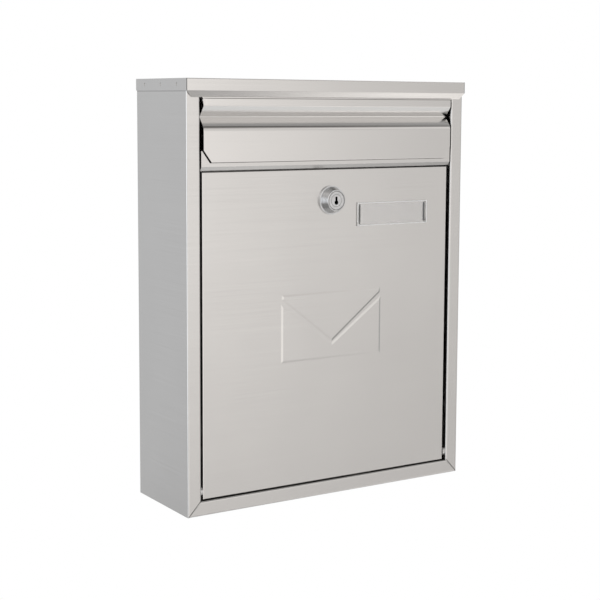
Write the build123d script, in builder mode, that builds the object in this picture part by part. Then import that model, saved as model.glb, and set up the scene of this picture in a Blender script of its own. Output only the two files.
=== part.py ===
from build123d import *
import os

# Wall mounted sheet steel mailbox. Millimetres, +Z up. The wall is the plane y = 0 and the
# front faces -Y. The origin is the centre of the four wall screw holes, on the back face.

# ---- driving dimensions ------------------------------------------------------------------
BODY_WIDTH = 249.0
BODY_DEPTH = 80.6
BODY_HEIGHT = 320.0
SHEET = 0.7
BEND = 1.1
SEAM = 0.25
RUNNING = 0.05
GAP = 0.3
PUNCH = 3.0

HOLE_SPACING_X = 180.0
HOLE_SPACING_Z = 200.0
HOLE_CENTRE_HEIGHT = 142.0
HOLE_RADIUS = 3.0

FRAME_WIDTH = 10.8
RETURN_DEPTH = 3.2
WELD_FLANGE = 12.0
FLANGE_MARGIN = 4.0

LID_OVERHANG = 2.0
SKIRT_HEIGHT = 8.7
LIP_HEIGHT = 4.8
LIP_MITRE = 4.8
LIP_SEAT = 0.75
LID_EDGE_ROUND = 0.6
DIMPLE_RADIUS = 1.4
DIMPLE_DEPTH = 0.25
DIMPLE_COUNT = 3
DIMPLE_SPACING = 26.0

DOOR_INSET = 13.3
DOOR_RECESS = 2.0
DOOR_BOTTOM_GAP = 0.8
DOOR_TOP_DROP = 67.2
DOOR_FLANGE = 11.0
DOOR_CORNER_ROUND = 0.6

BAR_GAP = 1.0
BAR_FACE = 2.7
BAR_SLOPE_HEIGHT = 2.8
BAR_SLOPE_DEPTH = 1.8
BAR_INSET = 11.9
BAR_SETBACK = 0.3
BAR_BEND = 0.35
WEB_DEPTH = 18.4
KEEPER_HEIGHT = 10.5
EAR_WIDTH = 7.0
EAR_HEIGHT = 8.8
TAB_HEIGHT = 10.0

PIVOT_HEIGHT = 17.6
PIVOT_DEPTH = 4.7
PIVOT_RADIUS = 1.25
COLLAR_RADIUS = 3.5
RIVET_HEAD_RADIUS = 2.4
RIVET_HEAD_THICKNESS = 0.9
PIVOT_REACH = 1.2
LUG_HEIGHT = 16.0
LUG_DEPTH = 9.0

ROD_RADIUS = 1.0
ROD_INSET = 12.4
ROD_DROP = 15.55
ROD_CLEARANCE = 0.08
BRACKET_INSET = 49.5
BRACKET_WIDTH = 14.0
BRACKET_THICKNESS = 1.5
BRACKET_SET = 0.4
BRACKET_DROP = 0.9
BRACKET_FLANGE = 10.0
WINDOW_MARGIN = 1.0
WINDOW_SET = 0.15

FLAP_INSET = 13.0
FLAP_PROUD = 1.5
FLAP_DEPTH = 12.0
FLAP_BOTTOM_GAP = 0.3
GROOVE_TOP_DROP = 19.8
GROOVE_APEX_DROP = 27.6
GROOVE_BOTTOM_DROP = 35.4
GROOVE_DEPTH = 6.5
FLAP_CUT_GAP = 0.7
LIP_OVERLAP = 2.2
LIP_STANDOFF = 3.5

LOCK_DROP = 23.5
LOCK_FLANGE_RADIUS = 11.2
LOCK_FLANGE_THICKNESS = 1.4
LOCK_SHOULDER_RADIUS = 10.2
LOCK_FACE_RADIUS = 8.0
LOCK_PROUD = 7.8
LOCK_RING_WIDTH = 1.3
LOCK_RING_DEPTH = 0.4
LOCK_NOSE_ROUND = 0.4
BARREL_RADIUS = 9.0
BARREL_FLAT = 8.0
BARREL_LENGTH = 17.0
BARREL_FIT = 0.1
PLUG_RADIUS = 5.5
KEYWAY_HEIGHT = 6.2
KEYWAY_WIDTH = 1.9
KEYWAY_BULGE = 1.7
KEYWAY_BULGE_DROP = 1.5
KEYWAY_DEPTH = 8.0
WASHER_RADIUS = 12.0
WASHER_THICKNESS = 0.8
WASHER_TEETH = 16
WASHER_NOTCH = 1.2
WASHER_NOTCH_DEPTH = 1.6
NUT_FLATS = 24.0
NUT_THICKNESS = 4.0
CAM_THICKNESS = 2.0
CAM_REACH = 21.5
CAM_WIDTH = 12.0
CAM_ROUND = 3.0
TANG_SIZE = 6.0
SCREW_HEAD_RADIUS = 3.8
SCREW_HEAD_THICKNESS = 2.4
SCREW_HEAD_ROUND = 0.8
SCREW_RADIUS = 1.6
SCREW_LENGTH = 7.0
SCREW_SLOT = 0.9
SCREW_SLOT_DEPTH = 1.2

PLATE_CENTRE_X = 57.4
PLATE_DROP = 44.6
PLATE_WIDTH = 67.2
PLATE_HEIGHT = 18.3
PLATE_PROUD = 1.6
PLATE_WALL = 0.8
PLATE_ROUND = 0.8
SLOT_INSET = 2.6
SLOT_WIDTH = 1.8
SLOT_HEIGHT = 15.0
LEG_REACH = 3.4
BARB = 0.8

EMBLEM_CENTRE_X = 1.4
EMBLEM_WIDTH = 91.5
EMBLEM_HEIGHT = 52.0
EMBLEM_BOTTOM = 107.0
EMBLEM_RAISE = 0.55
EMBLEM_SLOPE = 71.0
EMBLEM_APEX = 13.2
BAND_AT_SIDE = 6.8
CREASE_INSET = 0.6
CREASE_DROP = 3.8
BAND_AT_APEX = 1.2

# ---- levels and planes worked out from them ----------------------------------------------
FRONT = -BODY_DEPTH
HALF_WIDTH = BODY_WIDTH / 2
FLOOR = -HOLE_CENTRE_HEIGHT
TOP = FLOOR + BODY_HEIGHT
UNDER_LID = TOP - SHEET
SKIRT_BOTTOM = TOP - SKIRT_HEIGHT
LIP_BOTTOM = SKIRT_BOTTOM - LIP_HEIGHT

DOOR_WIDTH = BODY_WIDTH - 2 * DOOR_INSET
DOOR_FACE = FRONT + DOOR_RECESS
DOOR_BACK = DOOR_FACE + SHEET
DOOR_BOTTOM = FLOOR + FRAME_WIDTH + DOOR_BOTTOM_GAP
DOOR_TOP = TOP - DOOR_TOP_DROP

BAR_BOTTOM = DOOR_TOP + BAR_GAP
BAR_FACE_BOTTOM = BAR_BOTTOM + BAR_SLOPE_HEIGHT
BAR_TOP = BAR_FACE_BOTTOM + BAR_FACE
BAR_FRONT = FRONT + BAR_SETBACK
KEEPER_FACE = FRONT + WEB_DEPTH

PIVOT_Y = FRONT + PIVOT_DEPTH
PIVOT_Z = FLOOR + PIVOT_HEIGHT

FLAP_WIDTH = BODY_WIDTH - 2 * FLAP_INSET
FLAP_FACE = FRONT - FLAP_PROUD
FLAP_BOTTOM = BAR_TOP + FLAP_BOTTOM_GAP
ROD_Y = FLAP_FACE + SHEET + ROD_CLEARANCE + ROD_RADIUS
ROD_Z = TOP - ROD_DROP
CURL_INNER = ROD_RADIUS + ROD_CLEARANCE
CURL_OUTER = CURL_INNER + SHEET
BRACKET_FRONT = ROD_Y + BRACKET_SET
BRACKET_X = HALF_WIDTH - BRACKET_INSET

LOCK_Z = DOOR_TOP - LOCK_DROP
LOCK_NOSE = DOOR_FACE - LOCK_PROUD
BARREL_END = DOOR_FACE + BARREL_LENGTH
CAM_FRONT = BARREL_END + GAP
CAM_BACK = CAM_FRONT + CAM_THICKNESS
NUT_FRONT = DOOR_BACK + WASHER_THICKNESS
PLATE_BOTTOM = DOOR_TOP - PLATE_DROP

os.makedirs("parts", exist_ok=True)


def save(piece, name):
    """Label a finished sub-part and write its STEP file."""
    piece.part.label = name
    export_step(piece.part, f"parts/{name}.step")


def box(x0, x1, y0, y1, z0, z1, mode=Mode.ADD):
    """Box between two corners."""
    with Locations(((x0 + x1) / 2, (y0 + y1) / 2, (z0 + z1) / 2)):
        Box(x1 - x0, y1 - y0, z1 - z0, mode=mode)


def folded(points, side, bend=BEND):
    """Section of a folded sheet whose outer side follows the points."""
    with BuildLine() as section:
        outer = FilletPolyline(*points, radius=bend)
        offset(outer, amount=SHEET, side=side)
    make_face(section.edges())


def outline(points):
    """Straight-sided face through the points."""
    with BuildLine() as edge:
        Polyline(*points, close=True)
    make_face(edge.edges())


def section_plane(x=0.0):
    """Plane across the box: its x is the row's y, its y is the row's z, its normal is +X."""
    return Plane(origin=(x, 0, 0), x_dir=(0, 1, 0), z_dir=(1, 0, 0))


def front_plane(y):
    """Plane seen from the front: its x is the row's x, its y is the row's z, its normal is -Y."""
    return Plane(origin=(0, y, 0), x_dir=(1, 0, 0), z_dir=(0, -1, 0))


# ---- side panels: wall, front stile, return flange and pivot lug ---------------------------
def side_panel(hand):
    """One side of the box; hand is -1 for the left and +1 for the right."""
    wall = hand * HALF_WIDTH
    inner = wall - hand * FRAME_WIDTH
    side = Side.LEFT if hand > 0 else Side.RIGHT
    with BuildPart() as panel:
        with BuildSketch(Plane.XY.offset(FLOOR)):
            path = [
                (inner, FRONT + RETURN_DEPTH),
                (inner, FRONT),
                (wall, FRONT),
                (wall, 0),
            ]
            folded(path, side)
        extrude(amount=UNDER_LID - FLOOR)
        # the stile is mitred over the bottom rail
        with BuildSketch(front_plane(FRONT + RETURN_DEPTH + GAP)):
            start = wall - hand * SHEET
            end = inner - hand * GAP
            rise = abs(end - start)
            outline([(start, FLOOR - GAP), (end, FLOOR - GAP), (end, FLOOR + SHEET + rise),
                     (start, FLOOR + SHEET)])
        extrude(amount=RETURN_DEPTH + 2 * GAP, mode=Mode.SUBTRACT)
        # lug that holds the door pivot, a deeper stretch of the return flange
        lug = sorted((inner, inner + hand * SHEET))
        lug_bottom = FLOOR + FRAME_WIDTH + GAP
        box(*lug, FRONT + BEND, FRONT + LUG_DEPTH, lug_bottom, lug_bottom + LUG_HEIGHT)
        with Locations(Location((inner, PIVOT_Y, PIVOT_Z), (0, 90, 0))):
            Cylinder(PIVOT_RADIUS, PUNCH, mode=Mode.SUBTRACT)
    return panel


left_side_panel = side_panel(-1)
save(left_side_panel, "left_side_panel")
right_side_panel = side_panel(1)
save(right_side_panel, "right_side_panel")


# ---- bottom panel: floor, front rail with its return, end flanges --------------------------
with BuildPart() as bottom_panel:
    with BuildSketch(section_plane(-HALF_WIDTH + SHEET)):
        folded([
            (FRONT + RETURN_DEPTH, FLOOR + FRAME_WIDTH),
            (FRONT, FLOOR + FRAME_WIDTH),
            (FRONT, FLOOR),
            (0, FLOOR),
        ], Side.LEFT)
    extrude(amount=BODY_WIDTH - 2 * SHEET)
    for hand in (-1, 1):
        corner = hand * (HALF_WIDTH - SHEET)
        inner = hand * (HALF_WIDTH - FRAME_WIDTH)
        foot = corner - hand * SEAM
        with BuildSketch(front_plane(FRONT + RETURN_DEPTH + GAP)):
            outline([
                (corner + hand * GAP, FLOOR + SHEET),
                (foot, FLOOR + SHEET),
                (inner - hand * SEAM, FLOOR + SHEET + abs(inner - hand * SEAM - foot)),
                (inner - hand * SEAM, FLOOR + FRAME_WIDTH + GAP),
                (corner + hand * GAP, FLOOR + FRAME_WIDTH + GAP),
            ])
        extrude(amount=RETURN_DEPTH + 2 * GAP, mode=Mode.SUBTRACT)
        ends = sorted((corner, corner - hand * SHEET))
        box(*ends, FRONT + FRAME_WIDTH, -WELD_FLANGE - FLANGE_MARGIN, FLOOR, FLOOR + WELD_FLANGE)
save(bottom_panel, "bottom_panel")


# ---- back panel: four wall screw holes, flanges welded to sides, floor and lid -------------
with BuildPart() as back_panel:
    edge = HALF_WIDTH - SHEET
    base = FLOOR + SHEET
    box(-edge, edge, -SHEET, 0, base, UNDER_LID)
    for hand in (-1, 1):
        flange = sorted((hand * edge, hand * (edge - SHEET)))
        box(*flange, -WELD_FLANGE, 0, base + FLANGE_MARGIN, UNDER_LID - FLANGE_MARGIN)
    run = edge - SHEET - FLANGE_MARGIN
    box(-run, run, -WELD_FLANGE, 0, base, base + SHEET)
    box(-run, run, -WELD_FLANGE, 0, UNDER_LID - SHEET, UNDER_LID)
    with BuildSketch(front_plane(0)):
        with GridLocations(HOLE_SPACING_X, HOLE_SPACING_Z, 2, 2):
            Circle(HOLE_RADIUS)
    extrude(amount=PUNCH, mode=Mode.SUBTRACT)
save(back_panel, "back_panel")


# ---- lid: top, three skirts, mitred drip lip, spot weld dimples ----------------------------
with BuildPart() as lid:
    half = HALF_WIDTH + SHEET
    with BuildSketch(section_plane(-half)):
        folded([
            (FRONT - LIP_SEAT, LIP_BOTTOM),
            (FRONT - LID_OVERHANG, SKIRT_BOTTOM),
            (FRONT - LID_OVERHANG, TOP),
            (0, TOP),
        ], Side.RIGHT, LID_EDGE_ROUND)
    extrude(amount=2 * half)
    for hand in (-1, 1):
        tip = hand * (half + GAP)
        with BuildSketch(front_plane(FRONT + SHEET)):
            outline([
                (hand * half, SKIRT_BOTTOM),
                (tip, SKIRT_BOTTOM),
                (tip, LIP_BOTTOM - GAP),
                (hand * (half - LIP_MITRE), LIP_BOTTOM - GAP),
            ])
        extrude(amount=LID_OVERHANG + 2 * SHEET, mode=Mode.SUBTRACT)
        skirt = sorted((hand * half, hand * HALF_WIDTH))
        box(*skirt, FRONT - LID_OVERHANG + SHEET, 0, SKIRT_BOTTOM, TOP - SHEET)
        middle = (FRONT - LID_OVERHANG) / 2
        row_start = middle - DIMPLE_SPACING * (DIMPLE_COUNT - 1) / 2
        for place in range(DIMPLE_COUNT):
            spot = (hand * half, row_start + place * DIMPLE_SPACING, SKIRT_BOTTOM + SKIRT_HEIGHT / 2)
            with Locations(Location(spot, (0, 90, 0))):
                Cylinder(DIMPLE_RADIUS, 2 * DIMPLE_DEPTH, mode=Mode.SUBTRACT)
save(lid, "lid")


# ---- crossbar between flap and door: face, drip slope, web, keeper lip, ears, end tabs ------
with BuildPart() as crossbar:
    bar_half = HALF_WIDTH - BAR_INSET
    with BuildSketch(section_plane(-bar_half)):
        folded([
            (BAR_FRONT, BAR_TOP),
            (BAR_FRONT, BAR_FACE_BOTTOM),
            (BAR_FRONT + BAR_SLOPE_DEPTH, BAR_BOTTOM),
            (KEEPER_FACE, BAR_BOTTOM),
            (KEEPER_FACE, BAR_BOTTOM - KEEPER_HEIGHT),
        ], Side.LEFT, BAR_BEND)
    extrude(amount=2 * bar_half)
    for hand in (-1, 1):
        outer = hand * bar_half
        with BuildSketch(front_plane(BAR_FRONT + SHEET)):
            outline([
                (outer, BAR_TOP - BAR_FACE / 2),
                (outer, BAR_TOP + EAR_HEIGHT),
                (outer - hand * SHEET, BAR_TOP + EAR_HEIGHT),
                (outer - hand * EAR_WIDTH, BAR_TOP),
                (outer - hand * EAR_WIDTH, BAR_TOP - BAR_FACE / 2),
            ])
        extrude(amount=SHEET)
        # behind the stile the web widens to the side wall and turns up into a welded tab
        wall = hand * (HALF_WIDTH - SHEET)
        wing_front = FRONT + RETURN_DEPTH + BAR_GAP
        wing = sorted((wall, outer))
        box(*wing, wing_front, KEEPER_FACE, BAR_BOTTOM, BAR_BOTTOM + SHEET)
        tab = sorted((wall, wall - hand * SHEET))
        box(*tab, wing_front, KEEPER_FACE, BAR_BOTTOM, BAR_BOTTOM + TAB_HEIGHT)
save(crossbar, "crossbar")


# ---- door pivots: collared rivets in the stile lugs ----------------------------------------
def door_pivot(hand):
    """Rivet with a spacing collar in the side gap and a journal in the door's flange."""
    lug_face = HALF_WIDTH - FRAME_WIDTH
    door_edge = DOOR_WIDTH / 2
    steps = [
        (lug_face + SHEET, lug_face + SHEET + RIVET_HEAD_THICKNESS, RIVET_HEAD_RADIUS),
        (door_edge - SHEET - PIVOT_REACH, lug_face + SHEET, PIVOT_RADIUS),
        (door_edge + GAP, lug_face, COLLAR_RADIUS),
    ]
    with BuildPart() as pivot:
        for near, far, radius in steps:
            middle = hand * (near + far) / 2
            with Locations(Location((middle, PIVOT_Y, PIVOT_Z), (0, 90, 0))):
                Cylinder(radius, far - near)
    return pivot


left_door_pivot = door_pivot(-1)
save(left_door_pivot, "left_door_pivot")
right_door_pivot = door_pivot(1)
save(right_door_pivot, "right_door_pivot")


# ---- flap hinge rod and its two brackets ---------------------------------------------------
rod_half = HALF_WIDTH - ROD_INSET
with BuildPart() as flap_hinge_rod:
    with Locations(Location((0, ROD_Y, ROD_Z), (0, 90, 0))):
        Cylinder(ROD_RADIUS, 2 * rod_half)
save(flap_hinge_rod, "flap_hinge_rod")


def flap_bracket(centre):
    """L bracket welded under the lid, with a half-round seat that holds the rod from behind."""
    x0 = centre - BRACKET_WIDTH / 2
    x1 = centre + BRACKET_WIDTH / 2
    with BuildPart() as bracket:
        foot = ROD_Z - BRACKET_DROP
        box(x0, x1, BRACKET_FRONT, BRACKET_FRONT + BRACKET_THICKNESS, foot, UNDER_LID)
        box(x0, x1, BRACKET_FRONT, BRACKET_FRONT + BRACKET_FLANGE, UNDER_LID - BRACKET_THICKNESS,
            UNDER_LID)
        with Locations(Location((centre, ROD_Y, ROD_Z), (0, 90, 0))):
            Cylinder(ROD_RADIUS, 2 * BRACKET_WIDTH, mode=Mode.SUBTRACT)
    return bracket


left_flap_bracket = flap_bracket(-BRACKET_X)
save(left_flap_bracket, "left_flap_bracket")
right_flap_bracket = flap_bracket(BRACKET_X)
save(right_flap_bracket, "right_flap_bracket")


# ---- mail flap: rolled edge, V groove, panel, cut corners, joggled stop lip -----------------
with BuildPart() as mail_flap:
    panel_bottom = FLAP_BOTTOM + SHEET
    lip_face = BAR_FRONT + SHEET + GAP
    half = FLAP_WIDTH / 2
    with BuildSketch(section_plane(-half)):
        folded([
            (FLAP_FACE, ROD_Z),
            (FLAP_FACE, TOP - GROOVE_TOP_DROP),
            (FLAP_FACE + GROOVE_DEPTH, TOP - GROOVE_APEX_DROP),
            (FLAP_FACE, TOP - GROOVE_BOTTOM_DROP),
            (FLAP_FACE, FLAP_BOTTOM),
            (lip_face + LIP_STANDOFF, FLAP_BOTTOM),
        ], Side.LEFT, BEND)
    extrude(amount=FLAP_WIDTH)
    with BuildSketch(section_plane(-half)):
        with Locations((ROD_Y, ROD_Z)):
            Circle(CURL_OUTER)
            Circle(CURL_INNER, mode=Mode.SUBTRACT)
        with BuildLine() as mouth:
            reach = 2 * CURL_OUTER
            end = ROD_Y + WINDOW_SET
            Polyline((end, ROD_Z), (ROD_Y - reach, ROD_Z), (ROD_Y - reach, ROD_Z - reach),
                     (end, ROD_Z - reach), close=True)
        make_face(mouth.edges(), mode=Mode.SUBTRACT)
    extrude(amount=FLAP_WIDTH)
    # windows in the rolled edge, one for each bracket
    for centre in (-BRACKET_X, BRACKET_X):
        window = BRACKET_WIDTH / 2 + WINDOW_MARGIN
        box(centre - window, centre + window, ROD_Y + WINDOW_SET, ROD_Y + 2 * CURL_OUTER,
            ROD_Z - 2 * CURL_OUTER, ROD_Z + CURL_OUTER + GAP, Mode.SUBTRACT)
    # stop lip that hangs behind the crossbar face
    box(-half, half, lip_face, lip_face + SHEET, FLAP_BOTTOM - LIP_OVERLAP, FLAP_BOTTOM + SHEET)
    for hand in (-1, 1):
        outer = hand * half
        cut_foot = hand * (HALF_WIDTH - BAR_INSET - EAR_WIDTH) - hand * FLAP_CUT_GAP
        with BuildSketch(front_plane(FLAP_FACE + FLAP_DEPTH)):
            outline([
                (outer + hand * GAP, BAR_TOP + EAR_HEIGHT + FLAP_CUT_GAP),
                (cut_foot, FLAP_BOTTOM),
                (cut_foot, FLAP_BOTTOM - LIP_OVERLAP - GAP),
                (outer + hand * GAP, FLAP_BOTTOM - LIP_OVERLAP - GAP),
            ])
        extrude(amount=FLAP_DEPTH + GAP, mode=Mode.SUBTRACT)
save(mail_flap, "mail_flap")


# ---- door panel: pan with four flanges, emblem, lock hole, plate slots, pivot holes ---------
def emblem_pad(points, height):
    """Raised field with sloping edges on the door's face."""
    with BuildSketch(front_plane(DOOR_FACE)) as field:
        outline([(EMBLEM_CENTRE_X + x, z) for x, z in points])
    extrude(field.sketch, amount=height, taper=EMBLEM_SLOPE)


def barrel_section(radius, flat):
    """Round section with two flats, for the lock's barrel and its hole."""
    with Locations((0, LOCK_Z)):
        Circle(radius)
        Rectangle(2 * radius, 2 * flat, mode=Mode.INTERSECT)


with BuildPart() as door_panel:
    half = DOOR_WIDTH / 2
    box(-half, half, DOOR_FACE, DOOR_FACE + DOOR_FLANGE, DOOR_BOTTOM, DOOR_TOP)
    front_face = door_panel.faces().sort_by(Axis.Y)[0]
    fillet(front_face.edges(), DOOR_CORNER_ROUND)
    box(-half + SHEET, half - SHEET, DOOR_BACK, DOOR_FACE + DOOR_FLANGE, DOOR_BOTTOM + SHEET,
        DOOR_TOP - SHEET, Mode.SUBTRACT)
    base = FLOOR + EMBLEM_BOTTOM
    crown = base + EMBLEM_HEIGHT
    wing = EMBLEM_WIDTH / 2
    apex = base + EMBLEM_APEX
    tip = wing - CREASE_INSET
    emblem_pad([(-tip, crown), (tip, crown), (tip, crown - CREASE_DROP), (0, apex),
                (-tip, crown - CREASE_DROP)], EMBLEM_RAISE)
    emblem_pad([(-wing, base), (wing, base), (wing, crown - BAND_AT_SIDE),
                (0, apex - BAND_AT_APEX), (-wing, crown - BAND_AT_SIDE)], EMBLEM_RAISE)
    with BuildSketch(front_plane(DOOR_BACK)):
        barrel_section(BARREL_RADIUS, BARREL_FLAT)
    extrude(amount=PUNCH, mode=Mode.SUBTRACT)
    with BuildSketch(front_plane(DOOR_BACK)):
        for hand in (-1, 1):
            slot_x = PLATE_CENTRE_X + hand * (PLATE_WIDTH / 2 - SLOT_INSET)
            with Locations((slot_x, PLATE_BOTTOM + PLATE_HEIGHT / 2)):
                SlotOverall(SLOT_HEIGHT, SLOT_WIDTH, rotation=90)
    extrude(amount=PUNCH, mode=Mode.SUBTRACT)
    with Locations(Location((0, PIVOT_Y, PIVOT_Z), (0, 90, 0))):
        Cylinder(PIVOT_RADIUS + RUNNING, 2 * DOOR_WIDTH, mode=Mode.SUBTRACT)
save(door_panel, "door_panel")


# ---- lock housing: flange, tapered shoulder, ringed face, flatted barrel --------------------
with BuildPart() as lock_housing:
    with BuildSketch(section_plane()):
        with BuildLine() as turned:
            Polyline(
                (DOOR_FACE, LOCK_Z),
                (DOOR_FACE, LOCK_Z + LOCK_FLANGE_RADIUS),
                (DOOR_FACE - LOCK_FLANGE_THICKNESS, LOCK_Z + LOCK_FLANGE_RADIUS),
                (DOOR_FACE - LOCK_FLANGE_THICKNESS, LOCK_Z + LOCK_SHOULDER_RADIUS),
                (LOCK_NOSE, LOCK_Z + LOCK_FACE_RADIUS),
                (LOCK_NOSE, LOCK_Z),
                close=True,
            )
        make_face(turned.edges())
    revolve(axis=Axis((0, 0, LOCK_Z), (0, 1, 0)))
    rims = lock_housing.edges().filter_by(GeomType.CIRCLE).sort_by(Axis.Y)
    fillet(rims[0], LOCK_NOSE_ROUND)
    with BuildSketch(front_plane(BARREL_END)):
        barrel_section(BARREL_RADIUS - BARREL_FIT, BARREL_FLAT - BARREL_FIT)
    extrude(amount=BARREL_LENGTH)
    with BuildSketch(front_plane(LOCK_NOSE)):
        with Locations((0, LOCK_Z)):
            Circle(PLUG_RADIUS + LOCK_RING_WIDTH)
    extrude(amount=-LOCK_RING_DEPTH, mode=Mode.SUBTRACT)
    with BuildSketch(front_plane(BARREL_END + GAP)):
        with Locations((0, LOCK_Z)):
            Circle(PLUG_RADIUS + RUNNING)
    extrude(amount=BARREL_LENGTH + LOCK_PROUD + 2 * GAP, mode=Mode.SUBTRACT)
save(lock_housing, "lock_housing")


# ---- toothed washer and hexagon nut behind the door ------------------------------------------
with BuildPart() as lock_washer:
    with BuildSketch(front_plane(NUT_FRONT)):
        with Locations((0, LOCK_Z)):
            Circle(WASHER_RADIUS)
            Circle(BARREL_RADIUS + GAP, mode=Mode.SUBTRACT)
            with PolarLocations(WASHER_RADIUS, WASHER_TEETH):
                Rectangle(WASHER_NOTCH_DEPTH, WASHER_NOTCH, mode=Mode.SUBTRACT)
    extrude(amount=WASHER_THICKNESS)
save(lock_washer, "lock_washer")

with BuildPart() as lock_nut:
    with BuildSketch(front_plane(NUT_FRONT + NUT_THICKNESS)):
        with Locations((0, LOCK_Z)):
            RegularPolygon(NUT_FLATS / 2, 6, major_radius=False)
            Circle(BARREL_RADIUS, mode=Mode.SUBTRACT)
    extrude(amount=NUT_THICKNESS)
save(lock_nut, "lock_nut")


# ---- lock core: plug with keyway, cam, screw ---------------------------------------------------
with BuildPart() as lock_plug:
    nose = LOCK_NOSE + LOCK_RING_DEPTH
    with BuildSketch(front_plane(BARREL_END)):
        with Locations((0, LOCK_Z)):
            Circle(PLUG_RADIUS)
    extrude(amount=BARREL_END - nose)
    with BuildSketch(front_plane(nose)):
        with Locations((0, LOCK_Z)):
            SlotOverall(KEYWAY_HEIGHT, KEYWAY_WIDTH, rotation=90)
        with Locations((0, LOCK_Z - KEYWAY_BULGE_DROP)):
            Circle(KEYWAY_BULGE)
    extrude(amount=-KEYWAY_DEPTH, mode=Mode.SUBTRACT)
    with BuildSketch(front_plane(CAM_BACK)):
        with Locations((0, LOCK_Z)):
            Rectangle(TANG_SIZE, TANG_SIZE)
    extrude(amount=CAM_BACK - BARREL_END)
    with BuildSketch(front_plane(CAM_BACK)):
        with Locations((0, LOCK_Z)):
            Circle(SCREW_RADIUS)
    extrude(amount=SCREW_LENGTH, mode=Mode.SUBTRACT)
save(lock_plug, "lock_plug")

with BuildPart() as lock_cam:
    with BuildSketch(front_plane(CAM_BACK)):
        with Locations((0, LOCK_Z)):
            Circle(CAM_WIDTH / 2)
        with Locations((CAM_REACH / 2, LOCK_Z)):
            Rectangle(CAM_REACH, CAM_WIDTH)
        fillet(vertices().group_by(Axis.X)[-1], CAM_ROUND)
        with Locations((0, LOCK_Z)):
            Rectangle(TANG_SIZE, TANG_SIZE, mode=Mode.SUBTRACT)
    extrude(amount=CAM_THICKNESS)
save(lock_cam, "lock_cam")

with BuildPart() as lock_cam_screw:
    with BuildSketch(front_plane(CAM_BACK)):
        with Locations((0, LOCK_Z)):
            Circle(SCREW_RADIUS)
    extrude(amount=SCREW_LENGTH - GAP)
    with BuildSketch(front_plane(CAM_BACK)):
        with Locations((0, LOCK_Z)):
            Circle(SCREW_HEAD_RADIUS)
    extrude(amount=-SCREW_HEAD_THICKNESS)
    head_rim = lock_cam_screw.edges().filter_by(GeomType.CIRCLE).sort_by(Axis.Y)[-1]
    fillet(head_rim, SCREW_HEAD_ROUND)
    head_back = CAM_BACK + SCREW_HEAD_THICKNESS
    box(-SCREW_HEAD_RADIUS, SCREW_HEAD_RADIUS, head_back - SCREW_SLOT_DEPTH, head_back,
        LOCK_Z - SCREW_SLOT / 2, LOCK_Z + SCREW_SLOT / 2, Mode.SUBTRACT)
save(lock_cam_screw, "lock_cam_screw")


# ---- name plate cover: clear hollow cover, two clip legs through the door's slots -------------
with BuildPart() as name_plate_cover:
    half = PLATE_WIDTH / 2
    x0 = PLATE_CENTRE_X - half
    x1 = PLATE_CENTRE_X + half
    z0 = PLATE_BOTTOM
    z1 = z0 + PLATE_HEIGHT
    box(x0, x1, DOOR_FACE - PLATE_PROUD, DOOR_FACE, z0, z1)
    cover_front = name_plate_cover.faces().sort_by(Axis.Y)[0]
    fillet(cover_front.edges(), PLATE_ROUND)
    wall = SLOT_INSET + SLOT_WIDTH / 2
    box(x0 + wall, x1 - wall, DOOR_FACE - PLATE_PROUD + PLATE_WALL, DOOR_FACE, z0 + PLATE_WALL,
        z1 - PLATE_WALL, Mode.SUBTRACT)
    leg_half = SLOT_HEIGHT / 2 - SLOT_WIDTH
    middle = (z0 + z1) / 2
    leg = SLOT_WIDTH / 2 - GAP
    for hand in (-1, 1):
        slot_x = PLATE_CENTRE_X + hand * (half - SLOT_INSET)
        box(slot_x - leg, slot_x + leg, DOOR_FACE - GAP, DOOR_FACE + LEG_REACH,
            middle - leg_half, middle + leg_half)
        barb = sorted((slot_x, slot_x + hand * (leg + BARB)))
        box(*barb, DOOR_BACK + GAP, DOOR_FACE + LEG_REACH, middle - leg_half, middle + leg_half)
save(name_plate_cover, "name_plate_cover")
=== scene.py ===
import math

import bpy
from mathutils import Matrix, Vector


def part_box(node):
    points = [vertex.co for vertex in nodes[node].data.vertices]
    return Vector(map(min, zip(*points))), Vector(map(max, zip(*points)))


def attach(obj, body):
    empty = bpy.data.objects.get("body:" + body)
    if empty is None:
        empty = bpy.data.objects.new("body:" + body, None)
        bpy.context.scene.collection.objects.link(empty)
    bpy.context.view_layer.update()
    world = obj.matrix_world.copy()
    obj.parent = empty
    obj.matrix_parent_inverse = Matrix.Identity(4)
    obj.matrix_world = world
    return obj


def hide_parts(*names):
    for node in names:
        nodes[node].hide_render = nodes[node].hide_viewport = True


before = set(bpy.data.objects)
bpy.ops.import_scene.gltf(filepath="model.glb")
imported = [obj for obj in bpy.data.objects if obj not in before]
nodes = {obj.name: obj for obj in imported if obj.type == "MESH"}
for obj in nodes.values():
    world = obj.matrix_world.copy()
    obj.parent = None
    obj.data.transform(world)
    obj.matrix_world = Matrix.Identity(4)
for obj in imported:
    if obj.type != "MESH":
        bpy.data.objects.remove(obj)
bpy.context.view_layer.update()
scene = bpy.context.scene

MM = 0.001

# ---- places taken from the frame ---------------------------------------------------------------
SIDE_LOW, SIDE_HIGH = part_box("left_side_panel")
SIDE_X = abs(SIDE_LOW.x)
STILE_X = abs(SIDE_HIGH.x)
FRONT = SIDE_LOW.y
FLOOR = SIDE_LOW.z
RAIL_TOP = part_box("bottom_panel")[1].z
LID_LOW, LID_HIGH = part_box("lid")
DOOR_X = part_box("door_panel")[1].x
LOCK_LOW, LOCK_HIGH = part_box("lock_housing")
LOCK_Z = (LOCK_LOW.z + LOCK_HIGH.z) / 2
FLAP_BRACKETS = ("left_flap_bracket", "right_flap_bracket")

# ---- sizes that the materials and the sheet metal share ----------------------------------------
SHEET = 0.7 * MM
GROOVE_TOP_DROP = 19.8 * MM
GROOVE_APEX_DROP = 27.6 * MM


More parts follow.
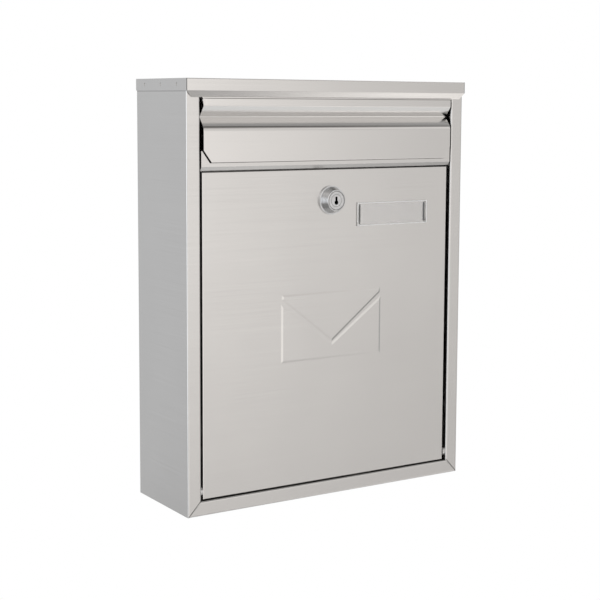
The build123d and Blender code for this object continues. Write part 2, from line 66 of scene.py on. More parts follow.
# ---- node helpers ------------------------------------------------------------------------------
class Nodes:
    """Short calls for building one material's or the world's node tree."""

    def __init__(self, tree):
        self.tree = tree
        self.tree.nodes.clear()

    def add(self, kind, **settings):
        node = self.tree.nodes.new(kind)
        for key, value in settings.items():
            setattr(node, key, value)
        return node

    def link(self, source, target):
        self.tree.links.new(source, target)

    def feed(self, target, value):
        """Set a socket to a value, or link it where the value is another socket."""
        if isinstance(value, bpy.types.NodeSocket):
            self.link(value, target)
        else:
            target.default_value = value

    def math(self, operation, first, second=0.0, third=0.0):
        node = self.add("ShaderNodeMath", operation=operation)
        for target, value in zip(node.inputs, (first, second, third)):
            self.feed(target, value)
        return node.outputs[0]

    def vector(self, operation, first, second=(0, 0, 0)):
        node = self.add("ShaderNodeVectorMath", operation=operation)
        self.feed(node.inputs[0], first)
        self.feed(node.inputs[1], second)
        gives_number = operation in ("DOT_PRODUCT", "LENGTH")
        return node.outputs["Value"] if gives_number else node.outputs[0]

    def place(self, scale=(1, 1, 1)):
        """Coordinates fixed to the piece, in metres, stretched by scale."""
        coordinates = self.add("ShaderNodeTexCoord")
        mapping = self.add("ShaderNodeMapping")
        mapping.inputs["Scale"].default_value = scale
        self.link(coordinates.outputs["Object"], mapping.inputs["Vector"])
        return mapping.outputs[0]

    def noise(self, vector, scale, detail=3.0, rough=0.5):
        node = self.add("ShaderNodeTexNoise")
        self.link(vector, node.inputs["Vector"])
        node.inputs["Scale"].default_value = scale
        node.inputs["Detail"].default_value = detail
        node.inputs["Roughness"].default_value = rough
        return node.outputs["Fac"]

    def span(self, value, low, high, start=0.0, end=1.0, smooth=False):
        node = self.add("ShaderNodeMapRange")
        node.interpolation_type = "SMOOTHSTEP" if smooth else "LINEAR"
        self.feed(node.inputs["Value"], value)
        node.inputs["From Min"].default_value = start
        node.inputs["From Max"].default_value = end
        node.inputs["To Min"].default_value = low
        node.inputs["To Max"].default_value = high
        return node.outputs[0]

    def blend(self, factor, first, second):
        node = self.add("ShaderNodeMix", data_type="RGBA")
        self.feed(node.inputs["Factor"], factor)
        self.feed(node.inputs["A"], first)
        self.feed(node.inputs["B"], second)
        return node.outputs["Result"]

    def bump(self, height, strength, distance):
        node = self.add("ShaderNodeBump")
        self.link(height, node.inputs["Height"])
        node.inputs["Strength"].default_value = strength
        node.inputs["Distance"].default_value = distance
        return node.outputs[0]


def new_material(name):
    """A material with its node helper and its Principled shader."""
    material = bpy.data.materials.new(name)
    material.use_nodes = True
    tree = Nodes(material.node_tree)
    shader = tree.add("ShaderNodeBsdfPrincipled")
    output = tree.add("ShaderNodeOutputMaterial")
    tree.link(shader.outputs[0], output.inputs["Surface"])
    return material, tree, shader


def rgba(colour, factor=1.0):
    """Opaque colour, made darker or lighter by the factor."""
    return (*(c * factor for c in colour), 1.0)


# ---- materials ---------------------------------------------------------------------------------
INOX = (0.645, 0.635, 0.622)
BRIGHT_INOX = (0.662, 0.651, 0.638)
# painted highlight along the door's side bends
PAINTED_BEND_HIGHLIGHT = (0.77, 0.76, 0.745)
# painted light over the upper leg of the flap's groove
PAINTED_GROOVE_LIGHT = (0.88, 0.87, 0.855)
SHADED_INOX = (0.50, 0.49, 0.48)
SEAM_TONE = (0.12, 0.118, 0.115)
SEAM_HALF = 0.3 * MM
SEAM_CORE = 0.6
SEAM_FADE = 0.1 * MM
BAND_FADE = 0.2 * MM
CLOUD_SCALE = 14.0
CLOUD_SHARE = 0.35
STREAK_SHARE = 0.65
NOISE_LOW, NOISE_HIGH = 0.3, 0.7
BRUSH_DEPTH = 0.2 * MM
FINE_DEPTH = 0.1 * MM


def mirrored_spot(tree):
    """Coordinates of the left half: what is marked there is marked on the right half too."""
    place = tree.place()
    across = tree.vector("ABSOLUTE", tree.vector("MULTIPLY", place, (1, 0, 0)))
    return tree.vector("ADD", across, tree.vector("MULTIPLY", place, (0, 1, 1)))


def banded(tree, shade, axis, low, high, colour):
    """The shade with a strip of another colour, from low to high along the axis."""
    height = tree.vector("DOT_PRODUCT", mirrored_spot(tree), axis)
    above = tree.span(height, 0.0, 1.0, low - BAND_FADE, low + BAND_FADE)
    below = tree.span(height, 1.0, 0.0, high - BAND_FADE, high + BAND_FADE)
    return tree.blend(tree.math("MULTIPLY", above, below), shade, rgba(colour))


def seamed(tree, shade, across, up, normal, back):
    """The shade with a dark line through a point, as far back from the front as it shows."""
    spot = mirrored_spot(tree)
    away = tree.vector("DOT_PRODUCT", tree.vector("SUBTRACT", spot, (across, 0, up)),
                       (normal[0], 0, normal[1]))
    line = tree.span(tree.math("ABSOLUTE", away), 1.0, 0.0, SEAM_HALF * SEAM_CORE, SEAM_HALF)
    depth = tree.vector("DOT_PRODUCT", spot, (0, 1, 0))
    ahead = tree.span(depth, 1.0, 0.0, back, back + SEAM_FADE)
    return tree.blend(tree.math("MULTIPLY", line, ahead), shade, rgba(SEAM_TONE))


def brushed_steel(name, grain, colour=INOX, rough=(0.19, 0.27), streak=0.05, bump=0.05,
                  seam=None, band=None):
    """Stainless sheet: long brush streaks and cloudy patches.

    A seam is a dark line where two folded ends meet at the front: a point across and up, the
    line's normal, and how far back it shows. A band is a strip of painted light or painted shade:
    the direction it is measured in, where it starts and ends, and its colour."""
    material, tree, shader = new_material(name)
    streaks = tree.noise(tree.place(grain), 1.0, detail=5.0, rough=0.7)
    clouds = tree.noise(tree.place(), CLOUD_SCALE, detail=2.0)
    tone = tree.math("MULTIPLY_ADD", clouds, CLOUD_SHARE,
                     tree.math("MULTIPLY", streaks, STREAK_SHARE))
    level = tree.span(tone, 0.0, 1.0, NOISE_LOW, NOISE_HIGH)
    shade = tree.blend(level, rgba(colour, 1 - streak), rgba(colour, 1 + streak))
    if band is not None:
        shade = banded(tree, shade, *band)
    if seam is not None:
        shade = seamed(tree, shade, *seam)
    tree.link(shade, shader.inputs["Base Color"])
    shader.inputs["Metallic"].default_value = 1.0
    smooth, coarse = rough
    tree.link(tree.span(streaks, coarse, smooth, NOISE_LOW, NOISE_HIGH),
              shader.inputs["Roughness"])
    tree.link(tree.bump(streaks, bump, BRUSH_DEPTH), shader.inputs["Normal"])
    return material


LATHE_PITCH = 0.45 * MM
CHROME = ((0.55, 0.56, 0.56), (0.66, 0.66, 0.67))
HAZE_SCALE = 900.0
# painted shade on the lock's grooves
PAINTED_RING_SHADE = (0.16, 0.155, 0.15)
RING_SHADE_CORE, RING_SHADE_EDGE = 0.5, 1.3
# painted shade inside the keyhole
PAINTED_KEYHOLE_SHADE = (0.02, 0.02, 0.02)
HOLE_FADE = 0.5 * MM
CHROME_ROUGH = (0.10, 0.20)
RING_BUMP = 0.25


def turned_chrome(name, dark_bands, hole_start=None):
    """Worn chrome on the lock: lathe rings on its face, painted shade in the grooves and the
    hole.

    Each dark band is painted shade on a groove: a radius and a half width in metres, round the
    lock's own axis. From hole_start inwards the metal is painted dark, as the keyhole's shade."""
    material, tree, shader = new_material(name)
    spot = tree.vector("SUBTRACT", tree.place(), (0, 0, LOCK_Z))
    radius = tree.vector("LENGTH", tree.vector("MULTIPLY", spot, (1, 0, 1)))
    rings = tree.math("SINE", tree.math("MULTIPLY", radius, 2 * math.pi / LATHE_PITCH))
    haze = tree.noise(tree.place(), HAZE_SCALE, detail=2.0)
    tone = tree.blend(haze, rgba(CHROME[0]), rgba(CHROME[1]))
    # painted shade: darker rings on the grooves
    for middle, half_width in dark_bands:
        away = tree.math("ABSOLUTE", tree.math("SUBTRACT", radius, middle))
        band = tree.span(away, 1.0, 0.0, half_width * RING_SHADE_CORE, half_width * RING_SHADE_EDGE)
        tone = tree.blend(band, tone, rgba(PAINTED_RING_SHADE))
    # painted shade: the metal turns near black inside the keyhole
    if hole_start is not None:
        depth = tree.add("ShaderNodeSeparateXYZ")
        tree.link(spot, depth.inputs[0])
        inside = tree.span(depth.outputs["Y"], 0.0, 1.0, hole_start, hole_start + HOLE_FADE)
        tone = tree.blend(inside, tone, rgba(PAINTED_KEYHOLE_SHADE))
    tree.link(tone, shader.inputs["Base Color"])
    shader.inputs["Metallic"].default_value = 1.0
    tree.link(tree.span(haze, *CHROME_ROUGH, NOISE_LOW, NOISE_HIGH), shader.inputs["Roughness"])
    tree.link(tree.bump(rings, RING_BUMP, FINE_DEPTH), shader.inputs["Normal"])
    return material


ZINC = ((0.54, 0.56, 0.57), (0.66, 0.67, 0.66))
SPANGLE_SCALE = 700.0
ZINC_GRAIN_SCALE = 1500.0
ZINC_GRAIN_SHARE = 0.5
ZINC_ROUGH = (0.28, 0.46)
ZINC_BUMP = 0.1


def zinc_plate(name):
    """Bright zinc on small stamped parts: fine spangle with a faint cool tint."""
    material, tree, shader = new_material(name)
    spangle = tree.add("ShaderNodeTexVoronoi")
    tree.link(tree.place(), spangle.inputs["Vector"])
    spangle.inputs["Scale"].default_value = SPANGLE_SCALE
    grain = tree.noise(tree.place(), ZINC_GRAIN_SCALE, detail=3.0)
    mixed = tree.math("MULTIPLY_ADD", grain, ZINC_GRAIN_SHARE, spangle.outputs["Distance"])
    tree.link(tree.blend(mixed, rgba(ZINC[0]), rgba(ZINC[1])), shader.inputs["Base Color"])
    shader.inputs["Metallic"].default_value = 1.0
    tree.link(tree.span(mixed, *ZINC_ROUGH), shader.inputs["Roughness"])
    tree.link(tree.bump(grain, ZINC_BUMP, FINE_DEPTH), shader.inputs["Normal"])
    return material


WIRE = ((0.50, 0.50, 0.50), (0.64, 0.64, 0.63))
WIRE_GRAIN = (40, 4000, 4000)
WIRE_ROUGH = (0.22, 0.38)
WIRE_BUMP = 0.08


def drawn_wire(name):
    """Drawn steel of the hinge rod and pivots: lines along the rod."""
    material, tree, shader = new_material(name)
    lines = tree.noise(tree.place(WIRE_GRAIN), 1.0, detail=3.0)
    tree.link(tree.blend(lines, rgba(WIRE[0]), rgba(WIRE[1])), shader.inputs["Base Color"])
    shader.inputs["Metallic"].default_value = 1.0
    tree.link(tree.span(lines, *WIRE_ROUGH), shader.inputs["Roughness"])
    tree.link(tree.bump(lines, WIRE_BUMP, FINE_DEPTH), shader.inputs["Normal"])
    return material


PLASTIC_IOR = 1.49
CLEAR = ((0.88, 0.88, 0.87), (0.97, 0.97, 0.97))
CLEAR_ALPHA = 0.10
CLEAR_ROUGH = (0.05, 0.12)
FLOW_GRAIN = (60, 60, 400)
# white for a painted highlight on the moulding's edge
RIM_HIGHLIGHT_TONES = ((0.93, 0.93, 0.92), (0.99, 0.99, 0.98))
RIM_HIGHLIGHT_ROUGH = (0.15, 0.35)
RIM_HIGHLIGHT_SCALE = 260.0


def clear_plastic(name):
    """Moulded polystyrene: clear, with faint flow marks."""
    material, tree, shader = new_material(name)
    flow = tree.noise(tree.place(FLOW_GRAIN), 1.0, detail=2.0)
    tree.link(tree.blend(flow, rgba(CLEAR[0]), rgba(CLEAR[1])), shader.inputs["Base Color"])
    shader.inputs["Alpha"].default_value = CLEAR_ALPHA
    shader.inputs["IOR"].default_value = PLASTIC_IOR
    tree.link(tree.span(flow, *CLEAR_ROUGH), shader.inputs["Roughness"])
    return material


def rim_highlight_plastic(name):
    """White plastic on the clear moulding's edge, as a painted highlight."""
    material, tree, shader = new_material(name)
    flow = tree.noise(tree.place(), RIM_HIGHLIGHT_SCALE, detail=3.0)
    tree.link(tree.blend(flow, rgba(RIM_HIGHLIGHT_TONES[0]), rgba(RIM_HIGHLIGHT_TONES[1])), shader.inputs["Base Color"])
    shader.inputs["Alpha"].default_value = 1.0
    shader.inputs["IOR"].default_value = PLASTIC_IOR
    tree.link(tree.span(flow, *RIM_HIGHLIGHT_ROUGH), shader.inputs["Roughness"])
    return material


LEVEL_GRAIN = (9.0, 9.0, 5200.0)
LID_GRAIN = (9.0, 5200.0, 5200.0)
ACROSS, UPWARDS = (1, 0, 0), (0, 0, 1)

# dark lines where folded ends meet: the mitres at the lower corners, the lid's front corner
MITRE_BACK = 0.2 * MM
CORNER_INSET = 0.1 * MM
CORNER_BACK = 0.4 * MM
mitre_normal = Vector((RAIL_TOP - FLOOR, SIDE_X - STILE_X)).normalized()
mitre = (SIDE_X, FLOOR, mitre_normal, FRONT + MITRE_BACK)
lid_corner = (LID_HIGH.x - CORNER_INSET, 0.0, (1.0, 0.0), LID_LOW.y + CORNER_BACK)

# painted shadow under the lid's skirt, highlight on the door's bends, light in the pressed groove
SKIRT_FOOT = LID_HIGH.z - 8.7 * MM
SKIRT_SHADE = 0.9 * MM
BEND_WIDTH = 0.7 * MM
BEYOND_DOOR = 2 * MM
skirt_shade = (UPWARDS, SKIRT_FOOT - SKIRT_SHADE, SKIRT_FOOT, SHADED_INOX)
# painted highlight: a lighter strip along both of the door's side bends
door_bend_highlight = (ACROSS, DOOR_X - BEND_WIDTH, DOOR_X + BEYOND_DOOR, PAINTED_BEND_HIGHLIGHT)
# painted light: a lighter strip on the upper leg of the flap's groove
groove_painted_light = (UPWARDS, LID_HIGH.z - GROOVE_APEX_DROP, LID_HIGH.z - GROOVE_TOP_DROP,
                 PAINTED_GROOVE_LIGHT)

# painted shade in the lock: the ring round the plug, the ring on the plug's face, and the keyhole
HOUSING_RING = (7.1 * MM, 0.25 * MM)
PLUG_RING = (4.6 * MM, 0.15 * MM)
KEYHOLE_START = LOCK_LOW.y + 0.7 * MM

shell = brushed_steel("brushed_shell", LEVEL_GRAIN, seam=mitre, band=skirt_shade)
back_steel = brushed_steel("brushed_back", LEVEL_GRAIN)
rail_steel = brushed_steel("brushed_rail", LID_GRAIN, seam=mitre)
lid_steel = brushed_steel("brushed_lid", LID_GRAIN, rough=(0.12, 0.18), seam=lid_corner)
door_steel = brushed_steel("brushed_door", LEVEL_GRAIN, band=door_bend_highlight)
flap_steel = brushed_steel("brushed_flap", LEVEL_GRAIN, BRIGHT_INOX, (0.11, 0.16), 0.03,
                           band=groove_painted_light)
# both lock materials carry painted shade in their grooves, the plug's also in the keyhole
chrome = turned_chrome("turned_chrome", [HOUSING_RING])
plug_chrome = turned_chrome("plug_chrome", [PLUG_RING], KEYHOLE_START)
zinc = zinc_plate("zinc_plate")
wire = drawn_wire("drawn_wire")
plastic = clear_plastic("clear_plastic")
# painted highlight for the name plate's rim
bead_highlight = rim_highlight_plastic("painted_rim_highlight")

FINISH = {
    "left_side_panel": shell,
    "right_side_panel": shell,
    "bottom_panel": rail_steel,
    "back_panel": back_steel,
    "lid": lid_steel,
    "crossbar": rail_steel,
    "left_door_pivot": wire,
    "right_door_pivot": wire,
    "flap_hinge_rod": wire,
    "left_flap_bracket": zinc,
    "right_flap_bracket": zinc,
    "mail_flap": flap_steel,
    "door_panel": door_steel,
    "lock_housing": chrome,
    "lock_washer": zinc,
    "lock_nut": zinc,
    "lock_plug": plug_chrome,
    "lock_cam": zinc,
    "lock_cam_screw": zinc,
    "name_plate_cover": plastic,
}
for name, material in FINISH.items():
    nodes[name].data.materials.clear()
    nodes[name].data.materials.append(material)


# ---- sheet metal pieces ------------------------------------------------------------------------
BEVEL_SEGMENTS = 2
BEVEL_FROM_DEG = 50
SHARP_FROM_DEG = 40


def rounded(corners, steps=6):
    """Points of a line through (depth, height, radius) corners, with an arc at each."""
    line = []
    for index, (y, z, radius) in enumerate(corners):
        here = Vector((y, z))
        if radius == 0:
            line.append(here)
            continue
        back = (Vector(corners[index - 1][:2]) - here).normalized()
        ahead = (Vector(corners[index + 1][:2]) - here).normalized()
        half_angle = back.angle(ahead) / 2
        centre = here + (back + ahead).normalized() * radius / math.sin(half_angle)
        reach = radius / math.tan(half_angle)
        start = here + back * reach - centre
        end = here + ahead * reach - centre
        first = math.atan2(start.y, start.x)
        sweep = (math.atan2(end.y, end.x) - first + math.pi) % (2 * math.pi) - math.pi
        for step in range(steps + 1):
            angle = first + sweep * step / steps
            line.append(centre + radius * Vector((math.cos(angle), math.sin(angle))))
    return line


def solid_sheet(name, points, faces, material, edge_round):
    """Give a surface its sheet thickness and softened edges, and smooth its bends."""
    mesh = bpy.data.meshes.new(name)
    mesh.from_pydata(points, [], faces)
    piece = bpy.data.objects.new(name, mesh)
    scene.collection.objects.link(piece)
    thick = piece.modifiers.new("thickness", "SOLIDIFY")
    thick.thickness = SHEET
    thick.offset = -1.0
    thick.use_even_offset = True
    soften = piece.modifiers.new("edges", "BEVEL")
    soften.width = edge_round
    soften.segments = BEVEL_SEGMENTS
    soften.limit_method = "ANGLE"
    soften.angle_limit = math.radians(BEVEL_FROM_DEG)
    shaped = piece.evaluated_get(bpy.context.evaluated_depsgraph_get())
    finished = bpy.data.meshes.new_from_object(shaped)
    piece.modifiers.clear()
    piece.data = finished
    finished.polygons.foreach_set("use_smooth", [True] * len(finished.polygons))
    finished.set_sharp_from_angle(angle=math.radians(SHARP_FROM_DEG))
    weigh = piece.modifiers.new("normals", "WEIGHTED_NORMAL")
    weigh.keep_sharp = True
    finished.materials.append(material)
    return piece


# the mail flap: its groove below the lid's top, its bends, its lip and cut corners above its
# foot, the beaten left end of its roll, the windows at the brackets, and how finely it is cut
GROOVE_BOTTOM_DROP = 35.4 * MM
GROOVE_DEPTH = 6.5 * MM
GROOVE_TOP_ROUND = 0.9 * MM
GROOVE_FOOT_ROUND = 8.0 * MM
CREASE_ROUND = 0.5 * MM
FRONT_ROUND = 1.0 * MM
FOOT_ROUND = 0.5 * MM
LIP_OVERLAP = 2.2 * MM
LIP_DEPTH = 2.8 * MM
CUT_TOP = 11.4 * MM
CUT_INSET = 6.6 * MM
CURL = 1.1 * MM
CURL_REACH = 2.4 * MM
CURL_DROP = 5.5 * MM
WINDOW_MARGIN = 1.0 * MM
STEADY_HALF = 95.0 * MM
ROLL_ANGLES = range(-80, 90, 10)
COLUMN_WIDTH = 4 * MM
FEWEST_COLUMNS = 6
FLAP_EDGE_ROUND = 0.28 * MM


def flap_skin():
    """Mail flap: edge rolled round the rod, V groove, panel with cut corners, stop lip."""
    low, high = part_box("mail_flap")
    rod_low, rod_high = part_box("flap_hinge_rod")
    top = LID_HIGH.z
    face, half, foot = low.y, high.x, low.z + LIP_OVERLAP
    cut_top = low.z + CUT_TOP
    rod_y, rod_z = (rod_low.y + rod_high.y) / 2, (rod_low.z + rod_high.z) / 2
    roll = rod_y - face
    crown = rod_z + roll
    line = []
    for degrees in ROLL_ANGLES:
        angle = math.radians(degrees)
        line.append(Vector((rod_y + roll * math.cos(angle), rod_z + roll * math.sin(angle))))
    line.append(Vector((rod_y, crown)))
    line += rounded([
        (rod_y, crown, 0),
        (face, crown, FRONT_ROUND),
        (face, top - GROOVE_TOP_DROP, GROOVE_TOP_ROUND),
        (face + GROOVE_DEPTH, top - GROOVE_APEX_DROP, CREASE_ROUND),
        (face, top - GROOVE_BOTTOM_DROP, GROOVE_FOOT_ROUND),
        (face, cut_top, 0),
        (face, foot, FOOT_ROUND),
        (face + LIP_DEPTH, foot, SHEET / 2),
        (face + LIP_DEPTH, low.z, 0),
    ])[1:]

    def end(z):
        """How far the ends of the sheet reach at a height."""
        cut = min(1.0, max(0.0, (cut_top - z) / (CUT_TOP - LIP_OVERLAP)))
        return half - cut * CUT_INSET

    def curl(x, y, z):
        """The left end of the rolled edge is beaten back a little."""
        near = max(0.0, (-x - half) / CURL_REACH + 1)
        rise = min(1.0, max(0.0, (z - (crown - CURL_DROP)) / CURL_DROP))
        front = min(1.0, max(0.0, (rod_y - y) / roll))
        return CURL * near ** 2 * math.sin(rise * math.pi / 2) * front

    windows = []
    for bracket in FLAP_BRACKETS:
        bracket_low, bracket_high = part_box(bracket)
        windows.append((bracket_low.x - WINDOW_MARGIN, bracket_high.x + WINDOW_MARGIN))
    edges = {-half, half, -STEADY_HALF, STEADY_HALF, CURL_REACH - half, half - CURL_REACH}
    edges = sorted(edges.union(*windows))
    columns = []
    for start, stop in zip(edges, edges[1:]):
        count = max(FEWEST_COLUMNS, round((stop - start) / COLUMN_WIDTH))
        columns += [start + (stop - start) * step / count for step in range(count)]
    columns.append(half)
    points = []
    for y, z in line:
        for x in columns:
            hand = -1 if x < 0 else 1
            spare = max(0.0, abs(x) - STEADY_HALF) / (half - STEADY_HALF)
            reach = min(abs(x), STEADY_HALF) + spare * (end(z) - STEADY_HALF)
            points.append((hand * reach, y + curl(x, y, z), z))
    faces = []
    width = len(columns)
    for row in range(len(line) - 1):
        behind = row < len(ROLL_ANGLES)
        for column in range(width - 1):
            middle = (columns[column] + columns[column + 1]) / 2
            if behind and any(start < middle < stop for start, stop in windows):
                continue
            corner = row * width + column
            faces.append((corner, corner + width, corner + width + 1, corner + 1))
    piece = solid_sheet("flap_skin", points, faces, flap_steel, FLAP_EDGE_ROUND)
    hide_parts("mail_flap")
    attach(piece, "flap")


flap_skin()


# the lid's lip, and the hem folded under it
LIP_DROP = 13.5 * MM
LIP_SEAT = 0.75 * MM
HEM_REACH = 0.95 * MM
HEM_FALL = 0.53 * MM
HEM_INSET = 1.2 * MM
# its section, measured from the foot of the lip: minus is forwards or down
HEM_SECTION = (
    (-HEM_REACH, -HEM_FALL),
    (-HEM_REACH, 0.12 * MM),
    (-0.07 * MM, 0.25 * MM),
    (0.0, 0.0),
    (-0.45 * MM, -0.08 * MM),
    (-0.70 * MM, -HEM_FALL),
)


def drip_hem():
    """Folded edge under the lid's lip, which closes the slit over the mail flap."""
    lip_foot = LID_HIGH.z - LIP_DROP
    lip_front = FRONT - LIP_SEAT
    reach = STILE_X - HEM_INSET
    points = []
    for x in (-reach, reach):
        points += [(x, lip_front + y, lip_foot + z) for y, z in HEM_SECTION]
    count = len(HEM_SECTION)
    faces = [list(range(count)), list(range(2 * count - 1, count - 1, -1))]
    for here in range(count):
        ahead = (here + 1) % count
        faces.append((ahead, here, here + count, ahead + count))
    mesh = bpy.data.meshes.new("drip_hem")
    mesh.from_pydata(points, [], faces)
    mesh.materials.append(lid_steel)
    hem = bpy.data.objects.new("drip_hem", mesh)
    scene.collection.objects.link(hem)
    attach(hem, "root")


drip_hem()


# ---- name plate --------------------------------------------------------------------------------
PLATE_BEAD = 0.45 * MM
PLATE_BEAD_SET = 0.6 * MM
BEAD_RESOLUTION = 3


def plate_rim():
    """Bead round the plate cover, a little back from its face; its white is a painted highlight.
    """
    low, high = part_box("name_plate_cover")
    left, right = low.x + PLATE_BEAD, high.x - PLATE_BEAD
    bottom, top = low.z + PLATE_BEAD, high.z - PLATE_BEAD
    corners = ((left, bottom), (right, bottom), (right, top), (left, top))
    data = bpy.data.curves.new("plate_rim", "CURVE")
    data.dimensions = "3D"
    spline = data.splines.new("BEZIER")
    spline.bezier_points.add(len(corners) - 1)
    for point, (x, z) in zip(spline.bezier_points, corners):
        point.co = (x, low.y + PLATE_BEAD_SET, z)
        point.handle_left_type = point.handle_right_type = "VECTOR"
    spline.use_cyclic_u = True
    data.bevel_depth = PLATE_BEAD
    data.bevel_resolution = BEAD_RESOLUTION
    data.materials.append(bead_highlight)
    rim = bpy.data.objects.new("plate_rim", data)
    scene.collection.objects.link(rim)
    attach(rim, "door")


plate_rim()


# ---- floor, world and lamp ---------------------------------------------------------------------
FLOOR_DROP = 1.05
FLOOR_RADIUS = 0.85
FLOOR_CORNERS = 64
FLOOR_TONES = ((0.40, 0.40, 0.40), (0.44, 0.44, 0.44))
FLOOR_GRAIN_SCALE = 3.0
FLOOR_GLOW = 0.70
METAL_GLOW = 0.36


def pale_floor():
    """Round floor far below the box, nearly white to the camera and greyer in the metal."""
    mesh = bpy.data.meshes.new("floor")
    ring = []
    for corner in range(FLOOR_CORNERS):
        angle = 2 * math.pi * corner / FLOOR_CORNERS
        ring.append((FLOOR_RADIUS * math.cos(angle), FLOOR_RADIUS * math.sin(angle),
                     FLOOR - FLOOR_DROP))
    mesh.from_pydata(ring, [], [list(range(FLOOR_CORNERS))])
    floor = bpy.data.objects.new("floor", mesh)
    scene.collection.objects.link(floor)
    material = bpy.data.materials.new("pale_floor")
    material.use_nodes = True
    tree = Nodes(material.node_tree)
    diffuse = tree.add("ShaderNodeBsdfDiffuse")
    grain = tree.noise(tree.place(), FLOOR_GRAIN_SCALE)
    tree.link(tree.blend(grain, rgba(FLOOR_TONES[0]), rgba(FLOOR_TONES[1])),
              diffuse.inputs["Color"])
    path = tree.add("ShaderNodeLightPath")
    glow = tree.add("ShaderNodeEmission")
    seen = tree.math("MAXIMUM", path.outputs["Is Camera Ray"],
                     path.outputs["Is Transmission Ray"])
    seen = tree.math("MULTIPLY", seen, FLOOR_GLOW)
    shown = tree.math("MULTIPLY", path.outputs["Is Glossy Ray"], METAL_GLOW)
    tree.link(tree.math("ADD", seen, shown), glow.inputs["Strength"])
    both = tree.add("ShaderNodeAddShader")
    tree.link(diffuse.outputs[0], both.inputs[0])
    tree.link(glow.outputs[0], both.inputs[1])
    output = tree.add("ShaderNodeOutputMaterial")
    tree.link(both.outputs[0], output.inputs["Surface"])
    mesh.materials.append(material)


pale_floor()

# the soft lights round the object, which only metal shows: azimuth from the front towards the
# right, elevation and reach in degrees, added level, tint, and how much of the reach is at
# full level; low_fill to left_glint are small and aimed at single facets as the camera sees
# them, and the dark card takes level away
NEUTRAL = (1.0, 1.0, 1.0)
WARM = (1.035, 0.995, 0.968)
COOL = (0.95, 1.0, 1.07)
SKY_BASE = (0.405, 0.40, 0.395)
EVEN_LEVEL = (0.80, 0.80, 0.80, 1.0)
WHITE = (1.0, 1.0, 1.0, 1.0)
SOFT = 0.35
HARD = 0.5
SOFT_LIGHTS = {
    "front": (-2, -2, 42, 0.67, WARM, SOFT),
    "front_right": (38, 3, 28, 0.34, WARM, SOFT),
    "front_low": (2, -38, 24, 0.36, WARM, SOFT),
    "low_fill": (45, -42, 12, 0.30, WARM, SOFT),
    "lip_strip": (43.5, -29, 10.5, 1.15, WARM, HARD),
    "slope_strip": (52, -59, 9, 0.55, NEUTRAL, HARD),
    "groove_fill": (76, -57, 15, 0.30, NEUTRAL, SOFT),
    "dark_card": (36, 41, 16, -0.30, NEUTRAL, SOFT),
    "arm_glint": (8, 21, 13, 0.24, WARM, SOFT),
    "top_bevel": (36, 29, 13, 0.40, WARM, SOFT),
    "left_glint": (-7, -9, 9, 0.19, WARM, SOFT),
    "right_side": (76, -9, 14, 0.16, NEUTRAL, SOFT),
    "right_edge": (56, 17, 18, 0.37, WARM, SOFT),
    "front_left_high": (-42, 32, 34, 0.40, WARM, SOFT),
    "front_left": (-52, -5, 28, 0.35, WARM, SOFT),
    "left": (-92, 0, 32, 1.45, COOL, SOFT),
    "left_high": (-120, 36, 32, 0.90, COOL, SOFT),
    "back_left": (-150, 0, 28, 0.30, COOL, SOFT),
    "right_high": (110, 36, 30, 1.10, NEUTRAL, SOFT),
    "top": (0, 90, 30, 1.05, NEUTRAL, SOFT),
}


def aim(azimuth_deg, elevation_deg):
    """Unit vector towards an azimuth, from the front to the right, and an elevation."""
    azimuth, elevation = math.radians(azimuth_deg), math.radians(elevation_deg)
    return (
        math.sin(azimuth) * math.cos(elevation),
        -math.cos(azimuth) * math.cos(elevation),
        math.sin(elevation),
    )


def studio_world():
    """White behind the object for the camera and through clear plastic.

    Matt surfaces get one even level. Metal doesn't show the white: it shows a grey level
    with the soft lights added to it.
    """
    world = bpy.data.worlds.new("studio")
    world.use_nodes = True
    tree = Nodes(world.node_tree)
    direction = tree.add("ShaderNodeTexCoord").outputs["Generated"]
    studio = SKY_BASE
    for azimuth_deg, elevation_deg, reach, gain, tint, full in SOFT_LIGHTS.values():
        facing = tree.vector("DOT_PRODUCT", direction, aim(azimuth_deg, elevation_deg))
        edge = math.cos(math.radians(reach))
        core = math.cos(math.radians(reach * full))
        glow = tree.span(facing, 0.0, gain, edge, core, smooth=True)
        studio = tree.vector("ADD", tree.vector("MULTIPLY", glow, tint), studio)
    path = tree.add("ShaderNodeLightPath")
    shaped = tree.blend(path.outputs["Is Glossy Ray"], EVEN_LEVEL, studio)
    seen = tree.math("MAXIMUM", path.outputs["Is Camera Ray"],
                     path.outputs["Is Transmission Ray"])
    background = tree.add("ShaderNodeBackground")
    tree.link(tree.blend(seen, shaped, WHITE), background.inputs["Color"])
    output = tree.add("ShaderNodeOutputWorld")
    tree.link(background.outputs[0], output.inputs["Surface"])
    scene.world = world


studio_world()


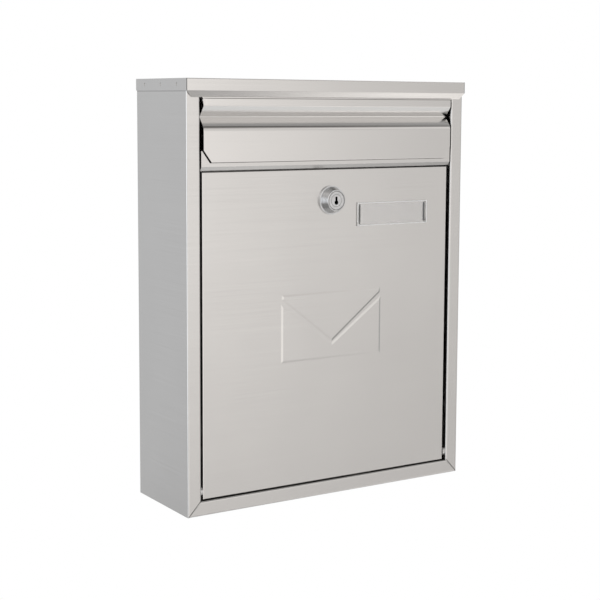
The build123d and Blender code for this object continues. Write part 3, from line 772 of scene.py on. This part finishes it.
KEY_PLACE = (-1.3, -1.5, 1.1)
KEY_TARGET_RISE = 0.1
KEY_SIZE = 1.8
KEY_POWER = 4.0


def key_lamp():
    """One large soft lamp from the upper left, aimed at the box."""
    data = bpy.data.lights.new("key_soft", "AREA")
    data.shape = "RECTANGLE"
    data.size = data.size_y = KEY_SIZE
    data.energy = KEY_POWER
    light = bpy.data.objects.new("key_soft", data)
    scene.collection.objects.link(light)
    light.location = KEY_PLACE
    target = Vector((0, FRONT / 2, FLOOR / 2 + KEY_TARGET_RISE))
    aimed = target - Vector(KEY_PLACE)
    light.rotation_euler = aimed.to_track_quat("-Z", "Y").to_euler()


key_lamp()


# ---- camera ------------------------------------------------------------------------------------
VIEW_SIZE = 600.0
FOCAL_LENGTH = 1381.7
SENSOR = 36.0
CAMERA_PLACE = (-0.57962, -0.95806, 0.16162)
CAMERA_AZIMUTH = 33.150
CAMERA_DOWN = 6.319
CAMERA_ROLL = 0.370
SHIFT_X = -0.0417
SHIFT_Y = -0.075
CLIP_START = 0.01
CLIP_END = 50.0

camera_data = bpy.data.cameras.new("camera")
camera_data.sensor_width = SENSOR
camera_data.lens = SENSOR * FOCAL_LENGTH / VIEW_SIZE
camera_data.shift_x = SHIFT_X
camera_data.shift_y = SHIFT_Y
camera_data.clip_start = CLIP_START
camera_data.clip_end = CLIP_END
camera = bpy.data.objects.new("camera", camera_data)
scene.collection.objects.link(camera)
azimuth = math.radians(CAMERA_AZIMUTH)
down = math.radians(CAMERA_DOWN)
ahead = Vector((math.sin(azimuth) * math.cos(down), math.cos(azimuth) * math.cos(down),
                -math.sin(down)))
level_right = Vector((math.cos(azimuth), -math.sin(azimuth), 0))
level_up = level_right.cross(ahead)
roll = math.radians(CAMERA_ROLL)
right = math.cos(roll) * level_right + math.sin(roll) * level_up
up = -math.sin(roll) * level_right + math.cos(roll) * level_up
turn = Matrix((right, up, -ahead)).transposed()
camera.matrix_world = Matrix.Translation(CAMERA_PLACE) @ turn.to_4x4()
scene.camera = camera
scene.view_settings.view_transform = "Standard"
